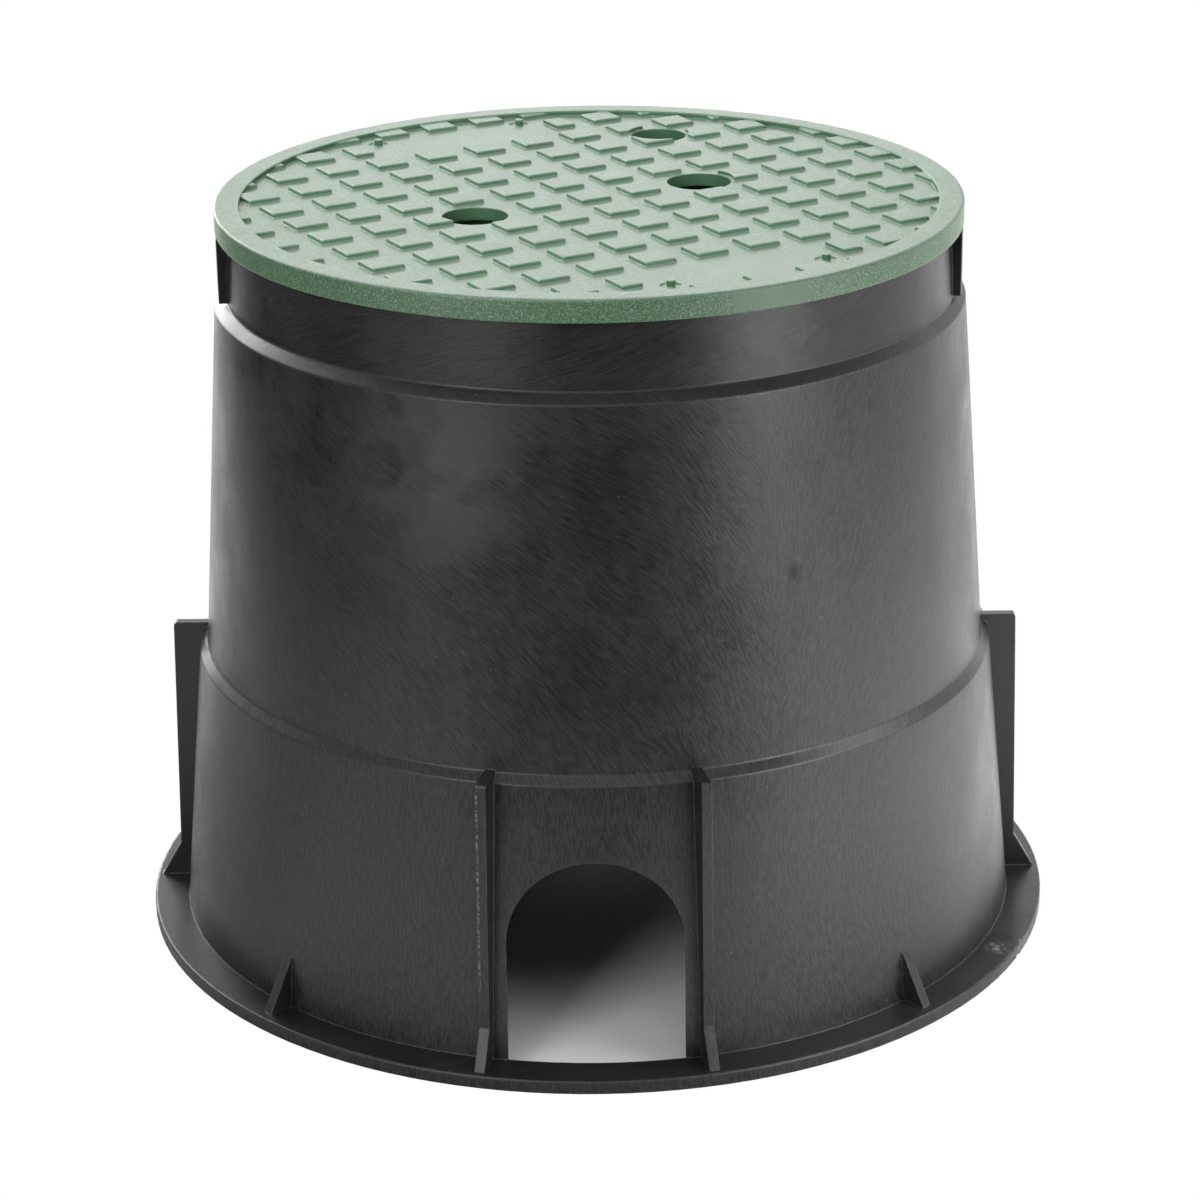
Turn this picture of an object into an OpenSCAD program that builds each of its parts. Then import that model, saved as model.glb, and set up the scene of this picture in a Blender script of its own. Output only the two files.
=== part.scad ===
// Round drain inspection chamber with a lift-off lid.
// The chamber is one moulding: a tapered wall in three stages with two conical ledges, a foot
// flange, an arched pipe opening front and back, and radial ribs and gussets around the skirt.
// The lid is a second moulding that only rests on the chamber: a raised rim around a sunk
// field of square tread pads, two finger holes, a lock bolt hole and a ribbed underside.
//
// Frame: millimetres, +Z up, origin at the centre of the base on the ground.
// The pipe openings face -Y (front) and +Y (back). Azimuth 0 is the front, +90 is +X.

/* [Chamber wall] */
// Height from the ground to the top of the collar, where the lid is seated
chamber_h = 261.4; // [240:0.1:320]
// Thickness of the moulded wall
wall_t = 3.5; // [2.5:0.1:5]
// Outer diameter of the collar at its top
collar_top_d = 253.8; // [240:0.2:255]
// Outer diameter of the collar at the upper ledge
collar_base_d = 256.4; // [250:0.2:260]
// Height of the inner edge of the upper ledge above the ground
upper_ledge_z = 234.3; // [200:0.1:240]
// Radial width of the upper ledge
upper_ledge_w = 4.1; // [2:0.1:8]
// Height of the sloping face of the upper ledge
upper_ledge_h = 3.2; // [1.5:0.1:6]
// Outer diameter of the barrel where it meets the lower ledge
barrel_base_d = 281.8; // [272:0.2:290]
// Height of the inner edge of the lower ledge above the ground
lower_ledge_z = 105.8; // [90:0.1:140]
// Radial width of the lower ledge
lower_ledge_w = 3; // [2:0.1:6]
// Height of the sloping face of the lower ledge
lower_ledge_h = 2.9; // [1.5:0.1:6]
// Outer diameter of the skirt where it meets the flange
skirt_base_d = 305.7; // [296:0.1:312]
// Radius on the edges of the two ledges
ledge_round = 1; // [0.4:0.1:1.4]

/* [Foot flange] */
// Outer diameter of the flange
flange_d = 331; // [326:1:370]
// Thickness of the flange
flange_t = 5; // [3:0.1:8]
// Radius on the outer edges of the flange
flange_round = 0.8; // [0.3:0.1:1.2]

/* [Pipe openings] */
// Width of each arched opening
opening_w = 60; // [30:1:62]
// Height of the crown of the arch above the ground
opening_h = 76.4; // [60:0.1:90]

/* [Ribs and gussets] */
// Thickness of every rib and gusset
rib_t = 3.6; // [2:0.1:4]
// Azimuth of the ribs on both sides of each opening
opening_rib_az = 14; // [13.5:0.1:20]
// Azimuth of the single rib on each flank
flank_rib_az = 90; // [80:1:100]
// How far the ribs rise above the inner edge of the lower ledge
rib_rise = 0.7; // [0:0.1:3]
// Radius of the outer edge of a rib at its top
rib_top_r = 154; // [150:0.1:157]
// Radius of the outer edge of a rib where its foot begins
rib_base_r = 156; // [154:0.1:159]
// Radius that the feet of the ribs reach on the flange
rib_foot_r = 163.4; // [160:0.1:165]
// Height of the sloping foot of a rib above the flange
rib_foot_h = 13; // [6:0.5:20]
// Azimuth of the small gussets, counted from the nearer opening
gusset_az = 45; // [30:1:65]
// Height of a small gusset's tip above the flange, just inside the wall
gusset_h = 21; // [8:0.5:40]
// Radius that the small gussets reach on the flange
gusset_foot_r = 161.7; // [158:0.1:165]
// Azimuth of the short ribs on the collar, counted from the nearer opening
collar_rib_az = 80; // [60:1:86]
// Radius on the outer top corner of the ribs
rib_round = 1.2; // [0.4:0.1:2]

/* [Lid] */
// Outer diameter of the lid
lid_d = 262; // [260:0.5:275]
// Height of the rim's outer side
lid_rim_h = 8; // [6:0.1:14]
// Thickness of the lid's plate
lid_plate_t = 4.6; // [3:0.1:5.5]
// Width of the raised rim on top
rim_w = 8.7; // [5:0.1:14]
// Thickness of the rim's outer wall, which hangs around the collar
rim_wall_t = 3.3; // [2:0.1:3.4]
// Depth of the tread field below the top of the rim
field_depth = 2; // [1.6:0.1:3]
// Radius on the upper edges of the rim
rim_round = 1; // [0.3:0.1:1.5]
// Radial gap between the collar and the lid's locating ring inside it
locator_gap = 1; // [0.4:0.1:2]
// Thickness of the locating ring
locator_t = 3; // [2:0.1:5]
// How far the locating ring reaches below the lid's seat
locator_h = 16; // [8:0.5:30]

/* [Tread] */
// Angle of the tread grid, with the finger holes on its main axis
tread_angle = 29; // [0:1:90]
// Pitch of the square grid of pads
pad_pitch = 19.95; // [16:0.05:26]
// Width of a pad at its top
pad_w = 11.4; // [8:0.1:14]
// Height of the pads above the field
pad_h = 1.4; // [0.8:0.1:1.5]
// How much each side of a pad widens towards its foot
pad_draft = 0.25; // [0.1:0.05:0.5]
// Chamfer on the upper edges of the pads
pad_chamfer = 0.3; // [0.1:0.05:0.5]
// Width of the bare ring of field around each hole
pad_clear = 1; // [0.5:0.1:2]
// Half the length of each bare marking window, along the main axis
window_half_l = 38.3; // [20:0.1:60]
// Distance from the lid's centre to the near side of a marking window
window_near = 89; // [88:0.1:95]
// Distance from the lid's centre to the far side of a marking window
window_far = 112.5; // [100:0.1:113]

/* [Holes in the lid] */
// Diameter of the two finger holes
finger_hole_d = 23; // [18:0.5:28]
// Distance of the finger holes from the lid's centre
finger_hole_r = 44.8; // [40:0.1:48]
// Diameter of the lock bolt hole
bolt_hole_d = 20.4; // [12:0.1:22]
// Distance of the lock bolt hole from the lid's centre
bolt_hole_r = 93.6; // [90:0.1:100]
// Angle of the lock bolt hole from the main axis
bolt_hole_az = 45; // [40:1:50]
// Outer diameter of the boss under the lock bolt hole
bolt_boss_d = 27; // [26:0.5:32]
// Length of the boss under the lid's plate
bolt_boss_h = 8; // [4:0.5:14]

/* [Marking nibs] */
// Diameter of the nibs beside the marking windows
nib_d = 2.9; // [2:0.1:4]
// Height of the nibs above the field
nib_h = 2; // [1:0.1:2]
// Diameter of the shallow pocket around a nib
nib_pocket_d = 7.5; // [5:0.1:9]
// Depth of the shallow pocket around a nib
nib_pocket_depth = 0.4; // [0.2:0.1:1]
// Distance of the nibs from the middle of their window, along the main axis
nib_offset = 29.5; // [20:0.5:34]
// Distance of the nibs from the cross axis of the lid
nib_row = 108.5; // [100:0.5:110]

/* [Underside of the lid] */
// Thickness of the stiffening ribs under the lid
stiffener_t = 2.4; // [1.5:0.1:4]
// Height of the stiffening ribs below the plate
stiffener_h = 9; // [4:0.5:14]
// Number of radial stiffening ribs
stiffener_n = 8; // [8]
// Mean radius of the inner stiffening ring
inner_ring_r = 22; // [15:0.5:28]
// Mean radius of the outer stiffening ring
outer_ring_r = 68; // [62:0.5:76]

/* [Wear] */
// Azimuth of the small nick in the edge of the flange
nick_az = 66.5; // [0:0.5:360]
// Width of the nick
nick_w = 3; // [0.5:0.1:6]
// Depth of the nick
nick_depth = 1.2; // [0.2:0.1:3]

/* [Hidden] */
$fn = 180;

chamber_colour = "#1b1c1d";
lid_colour = "#6f9b7c";

embed = 1;        // how deep an added rib or ring is rooted in the wall that carries it
over = 1;         // how far a cutting shape runs past the faces that it cuts
arc_steps = 4;    // flats on a rounded corner of a revolved outline
snug = 0.3;       // gap between the lid's rim and the short ribs under it

collar_top_r = collar_top_d / 2;
collar_base_r = collar_base_d / 2;
barrel_top_r = collar_base_r + upper_ledge_w;
barrel_top_z = upper_ledge_z - upper_ledge_h;
barrel_base_r = barrel_base_d / 2;
skirt_top_r = barrel_base_r + lower_ledge_w;
skirt_top_z = lower_ledge_z - lower_ledge_h;
skirt_base_r = skirt_base_d / 2;
flange_r = flange_d / 2;

lid_r = lid_d / 2;
field_r = lid_r - rim_w;
lid_top_z = chamber_h + lid_plate_t;
rim_bottom_z = lid_top_z - lid_rim_h;
field_z = lid_top_z - field_depth;
plate_bottom_z = field_z - lid_plate_t;
locator_bottom_z = chamber_h - locator_h;
locator_r = min(collar_top_r, collar_r(locator_bottom_z)) - wall_t - locator_gap;

// Outer radius of a straight stage of the wall at height z
function stage_r(z, r_low, z_low, r_high, z_high) =
    r_low + (r_high - r_low) * (z - z_low) / (z_high - z_low);
function skirt_r(z) = stage_r(z, skirt_base_r, flange_t, skirt_top_r, skirt_top_z);
function collar_r(z) = stage_r(z, collar_base_r, upper_ledge_z, collar_top_r, chamber_h);

// Point at height z on the line through the [r, z] points a and b
function at_height(z, a, b) = a + (b - a) * (z - a.y) / (b.y - a.y);

// Points of the arc that rounds the corner at b, between a and c, to radius r
function corner_arc(a, b, c, r) = let (
        u = (a - b) / norm(a - b),
        v = (c - b) / norm(c - b),
        half = acos(u * v) / 2,
        run = r / tan(half),
        centre = b + (u + v) / norm(u + v) * r / sin(half),
        from = b + u * run - centre,
        to = b + v * run - centre
    )
    [for (i = [0 : arc_steps])
        let (t = i / arc_steps, s = sin(180 - 2 * half))
        centre + (sin((1 - t) * (180 - 2 * half)) * from + sin(t * (180 - 2 * half)) * to) / s];

// An outline of [r, z, rounding] corners, with each rounded corner turned into its arc
function rounded(corners) = let (n = len(corners), p = [for (c = corners) [c[0], c[1]]])
    [for (i = [0 : n - 1])
        for (q = corners[i][2] == 0 ? [p[i]]
            : corner_arc(p[(i + n - 1) % n], p[i], p[(i + 1) % n], corners[i][2]))
            q];

// Turns a shape from the front to an azimuth
module at_azimuth(az) rotate([0, 0, az]) children();

// A plate in the vertical plane through the axis, drawn as an [r, z] outline facing the front
module radial_plate(outline, t) {
    rotate([90, 0, -90]) linear_extrude(t, center = true) polygon(outline);
}

// ---------------------------------------------------------------- chamber

// The wall's outer corners from the ground up, as [r, z, rounding]
wall_corners = [
    [skirt_r(0), 0, 0],
    [skirt_top_r, skirt_top_z, ledge_round],
    [barrel_base_r, lower_ledge_z, ledge_round],
    [barrel_top_r, barrel_top_z, ledge_round],
    [collar_base_r, upper_ledge_z, ledge_round],
    [collar_top_r, chamber_h, 0],
];

module chamber_wall() {
    last = len(wall_corners) - 1;
    inner_corners = [for (i = [last : -1 : 0])
        [wall_corners[i][0] - wall_t, wall_corners[i][1], wall_corners[i][2]]];
    rotate_extrude() polygon(rounded(concat(wall_corners, inner_corners)));
}

module pipe_opening() {
    arch_r = opening_w / 2;
    rotate([90, 0, 0]) linear_extrude(skirt_base_d + flange_d, center = true) {
        translate([0, opening_h - arch_r]) circle(arch_r);
        translate([-arch_r, -over]) square([opening_w, opening_h - arch_r + over]);
    }
}

module flange() {
    root_r = skirt_base_r - embed / 2;
    rotate_extrude() polygon(rounded([
        [root_r, 0, 0],
        [flange_r, 0, flange_round],
        [flange_r, flange_t, flange_round],
        [root_r, flange_t, 0],
    ]));
}

module flange_nick() {
    at_azimuth(nick_az) translate([0, -flange_r - nick_w / 2 + nick_depth, flange_t / 2])
        rotate([35, 20, 45]) cube([nick_w, nick_w, flange_t * 2], center = true);
}

// Full-height rib on the skirt, with a sloping foot on the flange
module skirt_rib(az) {
    top_z = lower_ledge_z + rib_rise;
    foot = [rib_foot_r, flange_t];
    foot_top = [rib_base_r, flange_t + rib_foot_h];
    at_azimuth(az) radial_plate(rounded([
        [skirt_base_r - embed, flange_t - embed, 0],
        concat(at_height(flange_t - embed, foot, foot_top), 0),
        concat(foot_top, 0),
        [rib_top_r, top_z, rib_round],
        [barrel_base_r - embed, top_z, 0],
        [skirt_top_r - embed, skirt_top_z, 0],
    ]), rib_t);
}

// Small triangular gusset between the skirt and the flange, with its tip inside the wall
module gusset(az) {
    foot = [gusset_foot_r, flange_t];
    tip = [skirt_r(flange_t + gusset_h) - embed, flange_t + gusset_h];
    at_azimuth(az) radial_plate([
        [skirt_base_r - embed, flange_t - embed],
        at_height(flange_t - embed, foot, tip),
        tip,
    ], rib_t);
}

// Short rib on the collar, which steadies the edge of the lid
module collar_rib(az) {
    top_z = rim_bottom_z - snug;
    at_azimuth(az) radial_plate([
        [collar_r(upper_ledge_z) - embed, upper_ledge_z],
        [lid_r, upper_ledge_z],
        [lid_r, top_z],
        [collar_r(top_z) - embed, top_z],
    ], rib_t);
}

module chamber_body() {
    color(chamber_colour) difference() {
        union() {
            difference() {
                chamber_wall();
                pipe_opening();
            }
            flange();
            for (side = [0, 180], hand = [-1, 1]) {
                skirt_rib(side + hand * opening_rib_az);
                gusset(side + hand * gusset_az);
                collar_rib(side + hand * collar_rib_az);
            }
            for (hand = [-1, 1]) skirt_rib(hand * flank_rib_az);
        }
        flange_nick();
    }
}

// ---------------------------------------------------------------- lid

module lid_shell() {
    rim_in_r = lid_r - rim_wall_t;
    rotate_extrude() polygon(rounded([
        [0, plate_bottom_z, 0],
        [locator_r - locator_t, plate_bottom_z, 0],
        [locator_r - locator_t, locator_bottom_z, 0],
        [locator_r, locator_bottom_z, 0],
        [locator_r, chamber_h, 0],
        [rim_in_r, chamber_h, 0],
        [rim_in_r, rim_bottom_z, 0],
        [lid_r, rim_bottom_z, rim_round / 2],
        [lid_r, lid_top_z, rim_round],
        [field_r, lid_top_z, rim_round / 2],
        [field_r, field_z - embed / 2, 0],
        [0, field_z - embed / 2, 0],
    ]));
}

// Parallel ridges on a thin slab, whose top is the surface of the field
module ridges() {
    n = ceil(field_r / pad_pitch);
    reach = (n + 0.5) * pad_pitch;
    half = pad_w / 2;
    outline = concat(
        [[-reach, -embed], [-reach, 0]],
        [for (i = [-n : n], p = [
            [-half - pad_draft, 0],
            [-half, pad_h - pad_chamfer],
            [pad_chamfer - half, pad_h],
            [half - pad_chamfer, pad_h],
            [half, pad_h - pad_chamfer],
            [half + pad_draft, 0],
        ]) [i * pad_pitch + p[0], p[1]]],
        [[reach, 0], [reach, -embed]]
    );
    rotate([90, 0, 0]) linear_extrude(2 * reach, center = true) polygon(outline);
}

// The field with its pads: ridges both ways leave a square pad at each crossing
module tread() {
    difference() {
        intersection() {
            ridges();
            rotate([0, 0, 90]) ridges();
            cylinder(h = 4 * embed, r = field_r + embed / 2, center = true);
        }
        for (side = [-1, 1])
            translate([-window_half_l, side > 0 ? window_near : -window_far, 0])
                cube([2 * window_half_l, window_far - window_near, pad_h + over]);
        hole_places() cylinder(h = pad_h + over, d = $hole_d + 2 * pad_clear);
    }
}

module stiffeners() {
    bottom_z = plate_bottom_z - stiffener_h;
    h = stiffener_h + embed;
    for (r = [inner_ring_r, outer_ring_r])
        translate([0, 0, bottom_z]) rotate_extrude()
            translate([r - stiffener_t / 2, 0]) square([stiffener_t, h]);
    for (i = [0 : stiffener_n - 1])
        rotate([0, 0, (i + 0.5) * 360 / stiffener_n])
            translate([inner_ring_r, -stiffener_t / 2, bottom_z])
                cube([locator_r - locator_t / 2 - inner_ring_r, stiffener_t, h]);
}

// Puts its child at each hole of the lid, with the hole's diameter in $hole_d
module hole_places() {
    $hole_d = finger_hole_d;
    for (side = [-1, 1]) translate([side * finger_hole_r, 0, 0]) children();
    rotate([0, 0, bolt_hole_az]) translate([bolt_hole_r, 0, 0]) {
        $hole_d = bolt_hole_d;
        children();
    }
}

module nib_places() {
    for (hand = [-1, 1], side = [-1, 1])
        translate([hand * nib_offset, side * nib_row, field_z]) children();
}

module lid() {
    color(lid_colour) rotate([0, 0, tread_angle]) union() {
        difference() {
            union() {
                lid_shell();
                translate([0, 0, field_z]) tread();
                stiffeners();
                rotate([0, 0, bolt_hole_az])
                    translate([bolt_hole_r, 0, plate_bottom_z - bolt_boss_h])
                        cylinder(h = bolt_boss_h + embed, d = bolt_boss_d);
            }
            translate([0, 0, locator_bottom_z - over]) hole_places()
                cylinder(h = lid_top_z - locator_bottom_z + 2 * over, d = $hole_d);
            nib_places() translate([0, 0, -nib_pocket_depth])
                cylinder(h = nib_pocket_depth + over, d = nib_pocket_d);
        }
        nib_places() translate([0, 0, -embed]) cylinder(h = nib_h + embed, d = nib_d);
    }
}

chamber_body();
lid();
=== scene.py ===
"""Drain inspection chamber: finishes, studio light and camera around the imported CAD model.

The CAD nodes keep their shape. This script gives them their plastics, lays white paper on a
dark studio floor, and sets soft lights round the object. Lengths are in metres, angles in degrees.
"""

import math

import bpy
from mathutils import Matrix, Vector


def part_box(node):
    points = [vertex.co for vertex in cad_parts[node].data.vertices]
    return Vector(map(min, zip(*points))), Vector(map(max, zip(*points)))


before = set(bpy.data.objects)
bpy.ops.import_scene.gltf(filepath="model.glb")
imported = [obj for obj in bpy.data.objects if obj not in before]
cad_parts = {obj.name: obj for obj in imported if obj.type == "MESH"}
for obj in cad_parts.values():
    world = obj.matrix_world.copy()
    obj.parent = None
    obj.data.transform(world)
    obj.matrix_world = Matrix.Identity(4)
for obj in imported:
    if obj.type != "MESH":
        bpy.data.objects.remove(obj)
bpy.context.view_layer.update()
scene = bpy.context.scene

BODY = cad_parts["chamber_body"]
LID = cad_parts["lid"]

# The camera
CAMERA_DISTANCE = 1.2191
CAMERA_HEIGHT = 0.5887
CAMERA_AZIMUTH = 0.4
CAMERA_PITCH = 21.318
CAMERA_YAW = -0.3
CAMERA_ROLL = -0.716
LENS = 107.36
SENSOR = 36.0


# ---------------------------------------------------------------- node helpers


class Nodes:
    """A material's or the world's node tree, with short calls for the nodes used here."""

    def __init__(self, tree):
        self.tree = tree
        tree.nodes.clear()

    def add(self, kind, **settings):
        node = self.tree.nodes.new("ShaderNode" + kind)
        for name, value in settings.items():
            setattr(node, name, value)
        return node

    def wire(self, value, socket):
        """Sets a socket to a plain value, or links another node's output to it."""
        if isinstance(value, bpy.types.NodeSocket):
            self.tree.links.new(value, socket)
        elif value is not None:
            socket.default_value = value

    def math(self, operation, a, b=None, c=None):
        node = self.add("Math", operation=operation)
        for socket, value in zip(node.inputs, (a, b, c)):
            self.wire(value, socket)
        return node.outputs[0]

    def ramp(self, value, low, high, out_low=0.0, out_high=1.0, smooth=True):
        """0 to 1, or between the two out values, as a value goes from low to high."""
        node = self.add("MapRange", interpolation_type="SMOOTHSTEP" if smooth else "LINEAR")
        values = (value, low, high, out_low, out_high)
        names = ("Value", "From Min", "From Max", "To Min", "To Max")
        for name, given in zip(names, values):
            self.wire(given, node.inputs[name])
        return node.outputs["Result"]

    def vector(self, x, y, z):
        node = self.add("CombineXYZ")
        for socket, value in zip(node.inputs, (x, y, z)):
            self.wire(value, socket)
        return node.outputs[0]

    def parts(self, vector):
        node = self.add("SeparateXYZ")
        self.wire(vector, node.inputs[0])
        return node.outputs

    def vector_math(self, operation, a, b=None):
        node = self.add("VectorMath", operation=operation)
        self.wire(a, node.inputs[0])
        self.wire(b, node.inputs[1])
        return node.outputs["Value" if operation in ("DOT_PRODUCT", "LENGTH", "DISTANCE") else 0]

    def noise(self, vector, scale, detail=2.0, roughness=0.5, distortion=0.0):
        node = self.add("TexNoise")
        values = (vector, scale, detail, roughness, distortion)
        names = ("Vector", "Scale", "Detail", "Roughness", "Distortion")
        for name, given in zip(names, values):
            self.wire(given, node.inputs[name])
        return node.outputs["Fac"]

    def specks(self, vector, scale, radius, share):
        """Small round dots, 0 to 1, in a share of the cells of a Voronoi pattern."""
        node = self.add("TexVoronoi")
        self.wire(vector, node.inputs["Vector"])
        self.wire(scale, node.inputs["Scale"])
        dot = self.ramp(node.outputs["Distance"], radius, 0.3 * radius)
        kept = self.math("LESS_THAN", self.parts(node.outputs["Color"])[0], share)
        return self.math("MULTIPLY", dot, kept)

    def near(self, vector, centre, radius, soft=1.0):
        """1 at a point, falling to 0 at a radius from it."""
        away = self.vector_math("DISTANCE", vector, centre)
        return self.ramp(away, radius, radius * (1.0 - soft))

    def between(self, value, low, high, soft):
        """1 between two values, with soft flanks outside them."""
        rise = self.ramp(value, low - soft, low)
        return self.math("MULTIPLY", rise, self.ramp(value, high + soft, high))

    def sector(self, azimuth, first, last, soft):
        """1 between two azimuths in degrees, with soft flanks, in radians, outside them."""
        return self.between(azimuth, math.radians(first), math.radians(last), soft)

    def scale(self, value, factor):
        return self.math("MULTIPLY", value, factor)

    def total(self, *values):
        result = values[0]
        for value in values[1:]:
            result = self.math("ADD", result, value)
        return result

    def mix(self, factor, a, b):
        """A colour between a and b."""
        node = self.add("Mix", data_type="RGBA")
        self.wire(factor, node.inputs["Factor"])
        self.wire(a, node.inputs[6])
        self.wire(b, node.inputs[7])
        return node.outputs[2]

    def blend(self, factor, a, b):
        """A number between a and b."""
        node = self.add("Mix", data_type="FLOAT")
        self.wire(factor, node.inputs["Factor"])
        self.wire(a, node.inputs[2])
        self.wire(b, node.inputs[3])
        return node.outputs[0]

    def bump(self, height, distance, normal=None):
        node = self.add("Bump")
        self.wire(distance, node.inputs["Distance"])
        self.wire(height, node.inputs["Height"])
        self.wire(normal, node.inputs["Normal"])
        return node.outputs["Normal"]

    def soft_edges(self, radius):
        """A normal that rounds the edges, and a mask of where it does."""
        node = self.add("Bevel", samples=4)
        self.wire(radius, node.inputs["Radius"])
        flat = self.add("NewGeometry").outputs["Normal"]
        same = self.vector_math("DOT_PRODUCT", node.outputs[0], flat)
        return node.outputs[0], self.ramp(same, 0.995, 0.86)


def new_material(name):
    material = bpy.data.materials.new(name)
    material.use_nodes = True
    return material, Nodes(material.node_tree)


def grey(value, blue=0.0):
    """A dark neutral as linear RGBA, with a little more blue where asked."""
    return (value, value, value + blue, 1.0)


# ---------------------------------------------------------------- finishes


BODY_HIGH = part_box("chamber_body")[1][2]
LOWER_LEDGE = 0.4046 * BODY_HIGH
UPPER_LEDGE = 0.896 * BODY_HIGH
WALL_RADIUS = 0.137         # of the barrel, halfway up
LID_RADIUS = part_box("lid")[1][0]
LID_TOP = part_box("lid")[1][2]
RIM_SIDE_RADIUS = LID_RADIUS - 0.0025
RUBBED_AND_SHEEN_DEPTH = 0.0035       # what faces up within this of the lid's top is painted pale: partly rubbed skin, partly painted sheen
SMOOTH_DEPTH = 0.0072       # how far the smooth patch reaches down the rim's side
EDGE_RADIUS = 0.0007        # of the softening of sharp edges in the shading

# Marks of the mould and of handling: azimuth, height and radius on the wall
GATE_AZIMUTH = 29.5
GATE_SPOT = (29.0, 0.1688, 0.1368)
SINK_MARK = (-30.6, 0.2062, 0.1343)
# the duller cloud is painted paler: partly a rougher skin, partly a painted highlight
DULL_HIGHLIGHT_CLOUD = (-21.5, 0.2085, 0.1342)
BARREL_SCUFF = (76.3, 0.197, 0.1349)
FLANGE_SCUFF = (64.0, 0.0055, 0.1600)
TRAIL_SQUASH = 0.12         # draws the gate's trail out along the height
GATE_TRAIL = (29.3, TRAIL_SQUASH * 0.158)
WELD_LINE = (27.45, 27.6)   # on the collar, from one azimuth to the other
SMOOTH_GATE = (21.6, 32.4)  # on the lid's rim, from one azimuth to the other
FLASH_AZIMUTH = -14.0       # of the left front rib

# Streaks: how far they lean, as a share of the climb, on each side of the line through the gates.
# The first number is the share, and the second is the sine of the azimuth at which it takes over.
STREAK_FAN = ((0.5, -0.32), (0.0, -0.08), (-0.4, 0.08), (-0.8, 0.32))
FAN_SOFTNESS = 0.10


def on_wall(azimuth, z, radius=WALL_RADIUS):
    """A point on the wall. Azimuth 0 is the front, and 90 is the right."""
    a = math.radians(azimuth)
    return (math.sin(a) * radius, -math.cos(a) * radius, z)


def flow_lines(n, azimuth, z, lean):
    """Fine streaks up a round wall. The lean is an angle, in radians, added to the azimuth."""
    turned = n.math("ADD", azimuth, lean)
    x = n.scale(n.math("SINE", turned), WALL_RADIUS)
    y = n.scale(n.math("COSINE", turned), WALL_RADIUS)
    return n.noise(n.vector(x, y, n.scale(z, 0.14)), 2000.0, 1.0, 0.5)


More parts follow.
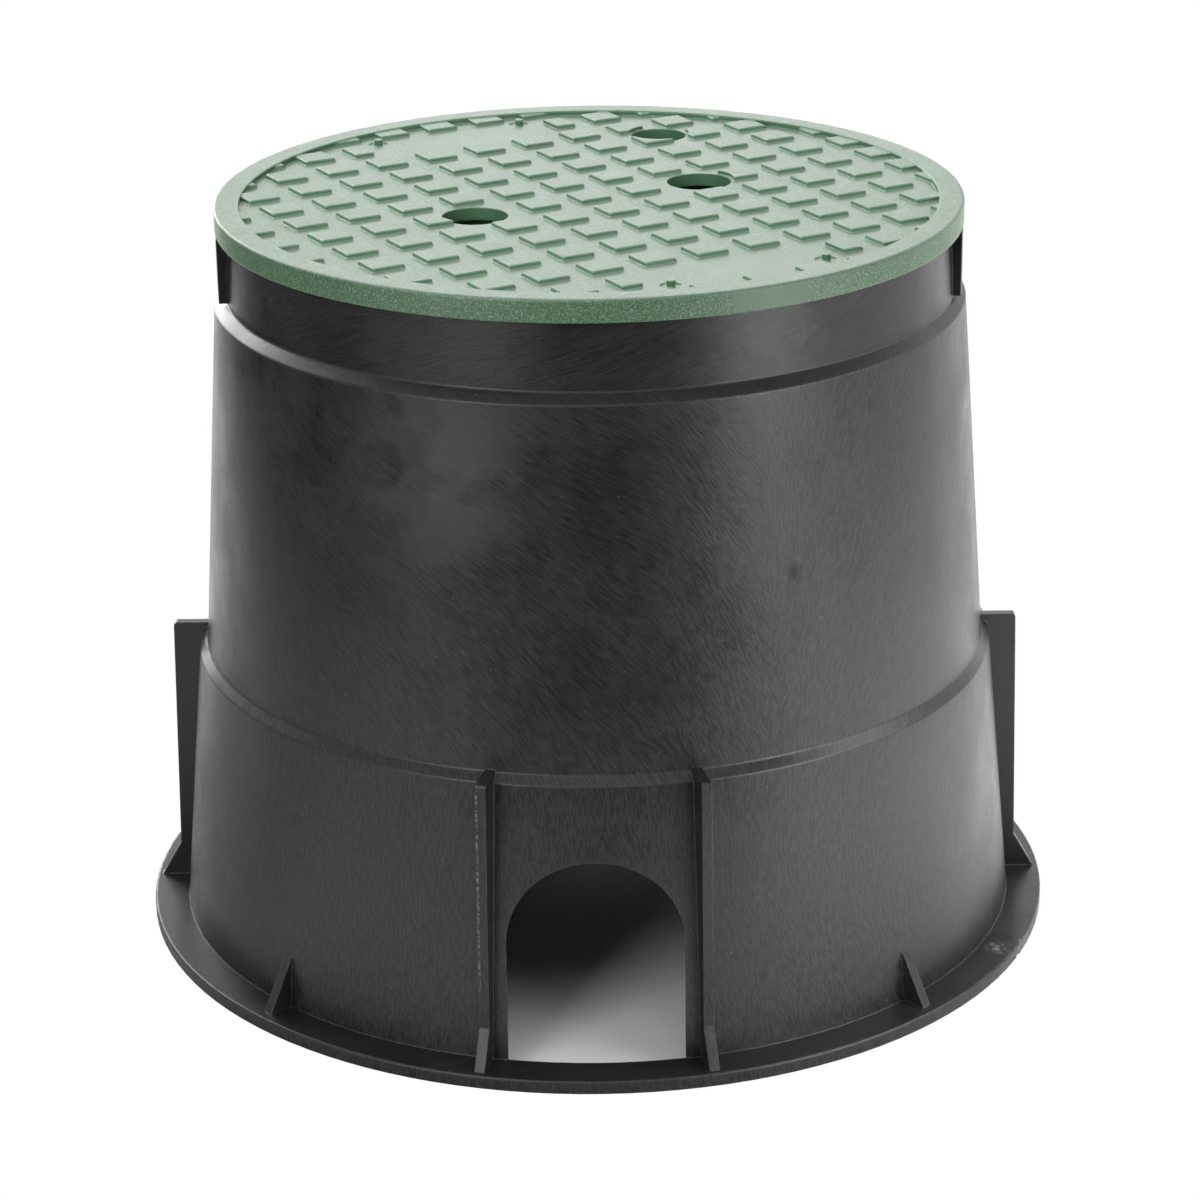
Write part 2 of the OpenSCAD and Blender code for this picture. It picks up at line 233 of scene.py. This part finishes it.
def black_plastic():
    """Satin black plastic with flow lines that fan out beside the gates, and shop wear."""
    material, n = new_material("black_plastic")
    out = n.add("OutputMaterial")
    shader = n.add("BsdfPrincipled")
    coordinates = n.add("TexCoord")
    place = coordinates.outputs["Object"]
    x, y, z = n.parts(place)
    azimuth = n.math("ARCTAN2", x, n.scale(y, -1.0))
    drift = n.noise(place, 9.0, 0.0)
    cloud = n.noise(place, 42.0, 4.0, 0.6)

    # Where on the wall: skirt below the lower ledge, barrel, and collar above the upper ledge
    height = n.math("SUBTRACT", z, LOWER_LEDGE)
    on_barrel = n.math("GREATER_THAN", z, LOWER_LEDGE - 0.003)
    on_collar = n.math("GREATER_THAN", z, UPPER_LEDGE - 0.001)

    # Streaks lean away from the line through the gates, more so higher up
    climb = n.math("MULTIPLY_ADD", n.math("MULTIPLY", height, height), 29.0, n.scale(height, 5.5))
    below_collar = n.math("SUBTRACT", 1.0, on_collar)
    climb = n.math("MULTIPLY", climb, n.math("MULTIPLY", on_barrel, below_collar))
    collar_lean = n.scale(n.math("SUBTRACT", z, UPPER_LEDGE), -20.0)
    collar_lean = n.math("MULTIPLY", collar_lean, on_collar)
    sway = n.total(n.math("MULTIPLY_ADD", drift, 0.30, -0.15), collar_lean)
    side = n.math("SINE", n.math("SUBTRACT", azimuth, math.radians(GATE_AZIMUTH)))
    streaks = flow_lines(n, azimuth, z, n.total(climb, sway))
    for share, change_at in STREAK_FAN:
        next_lines = flow_lines(n, azimuth, z, n.math("MULTIPLY_ADD", climb, share, sway))
        turn = n.ramp(side, change_at - FAN_SOFTNESS, change_at + FAN_SOFTNESS)
        streaks = n.blend(turn, streaks, next_lines)
    streaks = n.ramp(streaks, 0.30, 0.70)

    # No streaks on the sides of the ribs, which face along the wall
    from_axis = n.vector_math("MULTIPLY", place, (1.0, 1.0, 0.0))
    faces_out = n.vector_math("DOT_PRODUCT", coordinates.outputs["Normal"], from_axis)
    faces_out = n.math("GREATER_THAN", faces_out, 0.06)
    streaks = n.math("MULTIPLY_ADD", n.math("SUBTRACT", streaks, 0.5), faces_out, 0.5)

    # Marks of the mould: a gate spot, and a shallow round sink mark in a duller cloud. The cloud's
    # paler colour is partly a rougher skin and partly a painted highlight.
    gate = n.near(place, on_wall(*GATE_SPOT), 0.0050)
    sink = n.near(place, on_wall(*SINK_MARK), 0.0110)
    disc = n.near(place, on_wall(*SINK_MARK), 0.0105, 0.35)
    dull_and_painted_highlight = n.near(place, on_wall(*DULL_HIGHLIGHT_CLOUD), 0.0420)
    dull_and_painted_highlight = n.math("MULTIPLY", n.math("MULTIPLY", dull_and_painted_highlight, below_collar), n.ramp(cloud, 0.34, 0.56))
    dull_and_painted_highlight = n.math("MULTIPLY", dull_and_painted_highlight, n.math("MULTIPLY_ADD", disc, -0.8, 1.0))
    trail_place = n.vector_math("MULTIPLY", place, (1.0, 1.0, TRAIL_SQUASH))
    gate_trail = n.near(trail_place, on_wall(*GATE_TRAIL), 0.0042)
    weld = n.math("MULTIPLY", n.sector(azimuth, *WELD_LINE, 0.003), on_collar)

    # Dust specks, pale scuffs, and worn edges
    dust = n.specks(place, 330.0, 0.10, 0.12)
    lint = n.specks(n.vector_math("MULTIPLY", place, (1.0, 1.0, 0.5)), 900.0, 0.20, 0.10)
    edge_normal, edge = n.soft_edges(EDGE_RADIUS)
    worn = n.math("MULTIPLY", edge, n.ramp(n.noise(place, 520.0, 3.0, 0.7), 0.42, 0.62))
    scuff = n.math("MAXIMUM", n.near(place, on_wall(*BARREL_SCUFF), 0.006),
                   n.near(place, on_wall(*FLANGE_SCUFF), 0.0065))
    scratches = n.ramp(n.noise(place, 700.0, 3.0, 0.75, 1.0), 0.50, 0.60)
    scuff = n.math("MULTIPLY", scuff, scratches)

    # Flash along the outer edge of the left rib at the front
    across = n.vector_math("DOT_PRODUCT", place, on_wall(FLASH_AZIMUTH + 90.0, 0.0, 1.0))
    outward = n.vector_math("DOT_PRODUCT", place, on_wall(FLASH_AZIMUTH, 0.0, 1.0))
    flash = n.math("MULTIPLY", n.between(across, -0.0021, -0.0011, 0.0003),
                   n.math("GREATER_THAN", outward, 0.150))
    flash = n.math("MULTIPLY", flash, n.between(z, 0.035, 0.103, 0.006))
    flash = n.math("MULTIPLY", flash, n.ramp(n.noise(place, 1100.0, 2.0, 0.6), 0.44, 0.60))

    pale = n.total(n.scale(dust, 0.30), n.scale(lint, 0.10), n.scale(worn, 0.20),
                   n.scale(scuff, 0.75), n.scale(flash, 0.40))
    pale = n.math("MINIMUM", pale, 1.0)
    shade = n.ramp(n.total(n.scale(streaks, 0.75), n.scale(cloud, 0.25)), 0.35, 0.65)
    colour = n.mix(shade, grey(0.0060, 0.0006), grey(0.0170, 0.0008))
    # Painted highlight: the duller cloud is painted paler, partly for its rougher skin. Over the sink
    # mark the paler colour is left out, as painted shade.
    colour = n.mix(n.scale(dull_and_painted_highlight, 0.75), colour, grey(0.042, 0.001))
    # Painted shade: the gate spot is painted near black for the shade of its small dent, and the
    # colour is a little darker along its trail.
    dark = n.scale(n.math("MAXIMUM", gate, n.scale(gate_trail, 0.3)), 0.9)
    colour = n.mix(dark, colour, grey(0.001))
    colour = n.mix(pale, colour, grey(0.30))
    n.wire(colour, shader.inputs["Base Color"])

    rough = n.math("MULTIPLY_ADD", n.math("SUBTRACT", cloud, 0.5), 0.30, 0.365)
    rough = n.total(rough, n.scale(n.math("SUBTRACT", streaks, 0.5), 0.06),
                    n.scale(dull_and_painted_highlight, 0.08), n.scale(disc, -0.07), n.scale(gate, -0.10),
                    n.scale(gate_trail, -0.03), n.scale(weld, 0.05), n.scale(pale, 0.15))
    n.wire(rough, shader.inputs["Roughness"])
    n.wire(0.3, shader.inputs["Specular IOR Level"])

    # Shallow dents, then the marks, then the grain and the streaks on top
    dents = n.noise(place, 160.0, 3.0, 0.5)
    grain = n.noise(place, 1900.0, 2.0, 0.5)
    fine = n.math("MULTIPLY", streaks, n.ramp(cloud, 0.3, 0.7, 0.45, 1.0))
    normal = n.bump(dents, 0.00010, edge_normal)
    normal = n.bump(n.math("ADD", sink, n.scale(gate, 0.1)), -0.00040, normal)
    normal = n.bump(n.math("MULTIPLY_ADD", grain, 0.7, fine), 0.000018, normal)
    n.wire(normal, shader.inputs["Normal"])
    n.wire(shader.outputs[0], out.inputs["Surface"])
    return material


def green_plastic():
    """Green plastic: pale on what faces up, partly rubbed and partly painted sheen; speckled and
    darker on the sides.
    """
    material, n = new_material("green_plastic")
    out = n.add("OutputMaterial")
    shader = n.add("BsdfPrincipled")
    place = n.add("TexCoord").outputs["Object"]
    x, y, z = n.parts(place)
    azimuth = n.math("ARCTAN2", x, n.scale(y, -1.0))
    edge_normal, edge = n.soft_edges(EDGE_RADIUS)
    up = n.parts(edge_normal)[2]
    radius = n.vector_math("LENGTH", n.vector(x, y, 0.0))
    on_top = n.math("GREATER_THAN", z, LID_TOP - RUBBED_AND_SHEEN_DEPTH)

    cloud = n.noise(place, 38.0, 4.0, 0.62)
    mottle = n.noise(place, 170.0, 4.0, 0.65, 0.6)
    grain = n.noise(place, 1500.0, 2.0, 0.55)
    coarse = n.noise(place, 780.0, 2.0, 0.6)

    # The rim's side: green with a spark-eroded speckle, smooth over the gate
    smooth_gate = n.sector(azimuth, *SMOOTH_GATE, 0.012)
    ragged = n.math("MULTIPLY_ADD", coarse, 0.0016, -0.0008)
    above = n.math("GREATER_THAN", n.math("ADD", z, ragged), LID_TOP - SMOOTH_DEPTH)
    on_side = n.math("GREATER_THAN", radius, RIM_SIDE_RADIUS)
    smooth_gate = n.math("MULTIPLY", n.math("MULTIPLY", smooth_gate, above), on_side)
    rough_skin = n.math("SUBTRACT", 1.0, n.scale(smooth_gate, 0.8))
    rough_skin = n.math("MULTIPLY", rough_skin, n.math("MULTIPLY_ADD", on_side, 0.75, 0.25))
    light = n.math("MULTIPLY", n.ramp(n.noise(place, 1700.0, 1.0, 0.5), 0.46, 0.68), rough_skin)
    dark = n.math("MULTIPLY", n.ramp(n.noise(place, 1300.0, 1.0, 0.5), 0.50, 0.36), rough_skin)
    side = n.mix(n.ramp(cloud, 0.35, 0.65), (0.056, 0.133, 0.063, 1.0), (0.075, 0.162, 0.083, 1.0))
    side = n.mix(n.scale(light, 0.75), side, (0.21, 0.33, 0.235, 1.0))
    side = n.mix(n.scale(dark, 0.45), side, (0.038, 0.085, 0.044, 1.0))
    side = n.mix(n.scale(smooth_gate, 0.35), side, (0.13, 0.19, 0.14, 1.0))
    # Painted light: away from the rim's outer side, the pads' sides and other inner walls take a
    # lighter green than the rim's side, for light the lamps give them too little of.
    side = n.mix(on_side, (0.090, 0.205, 0.108, 1.0), side)

    # What faces up is a pale, slightly cloudy green: partly rubbed skin, partly painted sheen
    rub_and_sheen = n.ramp(n.total(n.scale(cloud, 0.55), n.scale(mottle, 0.45)), 0.36, 0.64)
    top = n.mix(rub_and_sheen, (0.220, 0.338, 0.236, 1.0), (0.325, 0.445, 0.343, 1.0))
    top = n.mix(n.scale(n.ramp(coarse, 0.42, 0.62), 0.55), top, (0.42, 0.53, 0.435, 1.0))
    top = n.mix(n.scale(n.ramp(grain, 0.52, 0.36), 0.55), top, (0.150, 0.250, 0.168, 1.0))
    # Painted highlight: the softened edges on what faces up are painted a bright mint.
    top = n.mix(n.scale(edge, 0.75), top, (0.46, 0.70, 0.52, 1.0))
    # Painted sheen: faces that turn up take the pale top colour, and the others keep the side's
    # green.
    facing = n.math("MULTIPLY", n.ramp(up, 0.35, 0.97), on_top)
    colour = n.mix(facing, side, top)

    # A painted highlight: a bright line where the top of a pad turns down into its side
    painted_edge_highlight = n.math("MULTIPLY", n.math("MULTIPLY", edge, n.between(up, 0.45, 0.92, 0.12)), on_top)
    painted_edge_highlight = n.math("MULTIPLY", painted_edge_highlight, n.math("MULTIPLY_ADD", on_side, -0.8, 0.9))
    colour = n.mix(painted_edge_highlight, colour, (0.58, 0.86, 0.64, 1.0))
    n.wire(colour, shader.inputs["Base Color"])

    rough = n.math("MULTIPLY_ADD", n.math("SUBTRACT", mottle, 0.5), 0.20, 0.46)
    n.wire(rough, shader.inputs["Roughness"])
    skin = n.total(n.scale(grain, 0.5), coarse)
    normal = n.bump(skin, 0.00003, edge_normal)
    normal = n.bump(n.noise(place, 90.0, 2.0), 0.00008, normal)
    n.wire(normal, shader.inputs["Normal"])
    n.wire(shader.outputs[0], out.inputs["Surface"])
    return material


def finish_node(node, material):
    for slot in node.material_slots:
        slot.material = material


finish_node(BODY, black_plastic())
finish_node(LID, green_plastic())


# ---------------------------------------------------------------- floor, light, camera

FLOOR_SIZE = 12.0
FOOT_RADIUS = 0.16          # inside it the floor shows its shadows to the camera too
PAPER_FRONT = -0.42
PAPER_LEFT = -0.65
PAPER_LEFT_SOFTNESS = 0.1
# A painted shadow of the chamber in the paper's glow that reflections see:
SHADOW_END = 0.26           # in reflections the paper is fully white from here out
SHADOW_AZIMUTH = -95.0      # on this side the chamber's soft shadow is wider:
WIDE_SHADOW = (0.25, 0.75)  # from all dark to all white
WORLD_FILL = 0.15           # of the world on matte surfaces
AIM_HEIGHT = 0.12           # on the object's axis, where most lamps look
WHITE = (1.0, 1.0, 1.0, 1.0)


def around(azimuth, distance, height):
    """A point at an azimuth round the object. Azimuth 0 is the front, and 90 is the right."""
    return Vector(on_wall(azimuth, height, distance))


def floor_material():
    """White paper, with the dark studio floor past its near and left edges. To the camera, all of it
    outside the chamber's foot is white. Reflections find the lit paper with a painted shadow of the
    chamber near the foot, and white paper further out."""
    material, n = new_material("floor_paper")
    out = n.add("OutputMaterial")
    place = n.add("TexCoord").outputs["Object"]
    x, y, _ = n.parts(place)
    radius = n.vector_math("LENGTH", place)
    on_paper = n.math("GREATER_THAN", y, PAPER_FRONT)
    left_edge = n.ramp(x, PAPER_LEFT, PAPER_LEFT + PAPER_LEFT_SOFTNESS)
    on_paper = n.math("MULTIPLY", on_paper, left_edge)
    paper = n.add("BsdfDiffuse")
    n.wire(n.mix(on_paper, grey(0.02), grey(0.9)), paper.inputs["Color"])

    # A painted shadow in the paper's glow seen in reflections: narrow all round, and wide in a soft
    # sector on the left
    toward = n.vector_math("DOT_PRODUCT", place, around(SHADOW_AZIMUTH, 1.0, 0.0))
    sector = n.ramp(n.math("DIVIDE", toward, radius), 0.80, 0.97)
    past_shadow = n.blend(sector, n.ramp(radius, FOOT_RADIUS, SHADOW_END),
                          n.ramp(radius, *WIDE_SHADOW))
    path = n.add("LightPath")
    reflected = n.add("Emission")
    far_paper = n.math("MULTIPLY", on_paper, past_shadow)
    strength = n.math("MULTIPLY", path.outputs["Is Glossy Ray"], far_paper)
    n.wire(strength, reflected.inputs["Strength"])

    # White to the camera outside the foot
    glow = n.add("Emission")
    n.wire(WHITE, glow.inputs["Color"])
    outside = n.math("GREATER_THAN", radius, FOOT_RADIUS)
    seen = n.math("MAXIMUM", path.outputs["Is Camera Ray"], path.outputs["Is Transmission Ray"])
    lit = n.add("AddShader")
    n.wire(paper.outputs[0], lit.inputs[0])
    n.wire(reflected.outputs[0], lit.inputs[1])
    mix = n.add("MixShader")
    n.wire(n.math("MULTIPLY", seen, outside), mix.inputs[0])
    n.wire(lit.outputs[0], mix.inputs[1])
    n.wire(glow.outputs[0], mix.inputs[2])
    n.wire(mix.outputs[0], out.inputs["Surface"])
    return material


def make_floor():
    mesh = bpy.data.meshes.new("floor")
    half = FLOOR_SIZE / 2
    corners = [(-half, -half, 0), (half, -half, 0), (half, half, 0), (-half, half, 0)]
    mesh.from_pydata(corners, [], [(0, 1, 2, 3)])
    floor = bpy.data.objects.new("floor", mesh)
    scene.collection.objects.link(floor)
    mesh.materials.append(floor_material())


def make_world():
    """White to the camera, in glass and in reflections, and a faint fill on matte surfaces."""
    world = bpy.data.worlds.new("studio")
    scene.world = world
    world.use_nodes = True
    n = Nodes(world.node_tree)
    out = n.add("OutputWorld")
    path = n.add("LightPath")
    seen = n.math("MAXIMUM", path.outputs["Is Camera Ray"], path.outputs["Is Transmission Ray"])
    seen = n.math("MAXIMUM", seen, path.outputs["Is Glossy Ray"])
    strength = n.ramp(seen, 0.0, 1.0, WORLD_FILL, 1.0, smooth=False)
    back = n.add("Background")
    n.wire(WHITE, back.inputs["Color"])
    n.wire(strength, back.inputs["Strength"])
    n.wire(back.outputs[0], out.inputs["Surface"])


def soft_light(name, azimuth, distance, height, width, tall, watts,
               aim=(0.0, AIM_HEIGHT), matte=True):
    """A rectangular soft light. It looks at a distance and a height on its own azimuth. One that
    isn't matte is seen in reflections alone."""
    data = bpy.data.lights.new(name, "AREA")
    data.shape = "RECTANGLE"
    data.size, data.size_y = width, tall
    data.energy = watts
    light = bpy.data.objects.new(name, data)
    light.location = around(azimuth, distance, height)
    away = light.location - around(azimuth, *aim)
    light.rotation_euler = away.to_track_quat("Z", "Y").to_euler()
    light.visible_camera = False
    light.visible_diffuse = matte
    scene.collection.objects.link(light)


def make_lights():
    # The right flank's broad highlight
    soft_light("right_strip", 48, 1.5, 0.22, 0.55, 0.3, 10.4, matte=False)
    soft_light("right_far", 60, 1.5, 0.22, 0.4, 0.3, 2.6, matte=False)
    soft_light("right_softbox", 45, 1.36, 0.75, 0.5, 0.5, 0.8)

    # The fainter one left of the middle, and the light on the lid
    soft_light("left_strip", -35, 1.5, 0.22, 0.5, 0.3, 3.6, matte=False)
    soft_light("left_softbox", -32, 1.36, 0.75, 0.6, 0.5, 7.4)
    soft_light("left_glint", -32, 1.36, 0.75, 0.6, 0.5, 4.2, matte=False)
    soft_light("left_far", -55, 1.5, 0.22, 0.4, 0.3, 0.6)
    soft_light("front_top", 0, 0.96, 1.27, 0.8, 0.6, 3.0)

    # The silhouettes, the left ends of the ledges, and the sheen on the lid
    soft_light("back_left", -150, 1.5, 0.22, 0.4, 0.3, 6.0)
    soft_light("back_left_high", -146, 1.36, 0.75, 0.5, 0.5, 3.5)
    soft_light("back_left_glint", -144, 1.3, 0.85, 0.4, 0.4, 3.5, matte=False)
    soft_light("left_ledge", -140, 1.3, 0.87, 0.4, 0.4, 2.0, matte=False)
    soft_light("left_high", -126, 0.98, 1.25, 0.6, 0.5, 2.4)
    soft_light("back_right", 136, 1.5, 0.22, 0.8, 0.3, 1.6)
    soft_light("back", 180, 1.36, 0.75, 0.6, 0.5, 2.7)
    soft_light("back_top", 180, 0.96, 1.27, 0.8, 0.6, 1.4)

    # The paper beside the right flank
    soft_light("right_floor", 60, 0.5, 0.27, 0.4, 0.4, 3.3, aim=(0.5, 0.0))
    soft_light("back_right_floor", 90, 0.45, 0.35, 0.4, 0.4, 0.6, aim=(0.45, 0.0))


def make_camera():
    data = bpy.data.cameras.new("camera")
    data.lens, data.sensor_width = LENS, SENSOR
    data.clip_start, data.clip_end = 0.05, 50.0
    camera = bpy.data.objects.new("camera", data)
    pitch = math.radians(CAMERA_PITCH)
    yaw, roll = math.radians(CAMERA_YAW), math.radians(CAMERA_ROLL)
    level = math.cos(pitch)
    forward = Vector((math.sin(yaw) * level, math.cos(yaw) * level, -math.sin(pitch)))
    right = forward.cross(Vector((0, 0, 1))).normalized()
    up = right.cross(forward)
    rolled_right = right * math.cos(roll) + up * math.sin(roll)
    rolled_up = up * math.cos(roll) - right * math.sin(roll)
    axes = Matrix((rolled_right, rolled_up, -forward)).transposed()
    place = around(CAMERA_AZIMUTH, CAMERA_DISTANCE, CAMERA_HEIGHT)
    camera.matrix_world = Matrix.Translation(place) @ axes.to_4x4()
    scene.collection.objects.link(camera)
    scene.camera = camera


make_floor()
make_world()
make_lights()
make_camera()
scene.view_settings.view_transform = "Standard"
